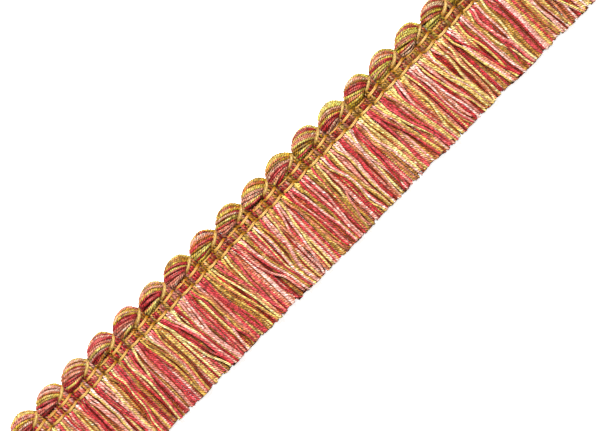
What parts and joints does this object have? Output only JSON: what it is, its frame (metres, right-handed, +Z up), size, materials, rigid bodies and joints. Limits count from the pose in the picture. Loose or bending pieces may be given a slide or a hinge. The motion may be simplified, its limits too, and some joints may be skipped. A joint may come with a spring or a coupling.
{
  "type": "fringe trim",
  "caption": "Straight cut length of woven brush fringe: a looped, scalloped heading bound by rows of thread, with a thick skirt of cut yarns",
  "frame": {"origin": "middle of the space the trim fills, on the surface it lies on", "axes": "+X along the trim, +Y from the cut ends towards the loops of the heading, +Z up, out of its face"},
  "size_m": [0.2886, 0.0445, 0.0052],
  "materials": {
    "weft_yarn": "matte twisted yarns of mixed rose, pink, tan, straw and old gold",
    "warp_thread": "gold thread with a soft sheen"
  },
  "bodies": {
    "root": {"weft_01": "weft_yarn", "weft_02": "weft_yarn", "weft_03": "weft_yarn", "weft_04": "weft_yarn", "weft_05": "weft_yarn", "weft_06": "weft_yarn", "weft_07": "weft_yarn", "weft_08": "weft_yarn", "weft_09": "weft_yarn", "weft_10": "weft_yarn", "weft_11": "weft_yarn", "weft_12": "weft_yarn", "weft_13": "weft_yarn", "weft_14": "weft_yarn", "weft_15": "weft_yarn", "weft_16": "weft_yarn", "weft_17": "weft_yarn", "weft_18": "weft_yarn", "weft_19": "weft_yarn", "weft_20": "weft_yarn", "weft_21": "weft_yarn", "warp_edge": "warp_thread", "warp_middle": "warp_thread", "warp_lower": "warp_thread"}
  },
  "joints": []
}
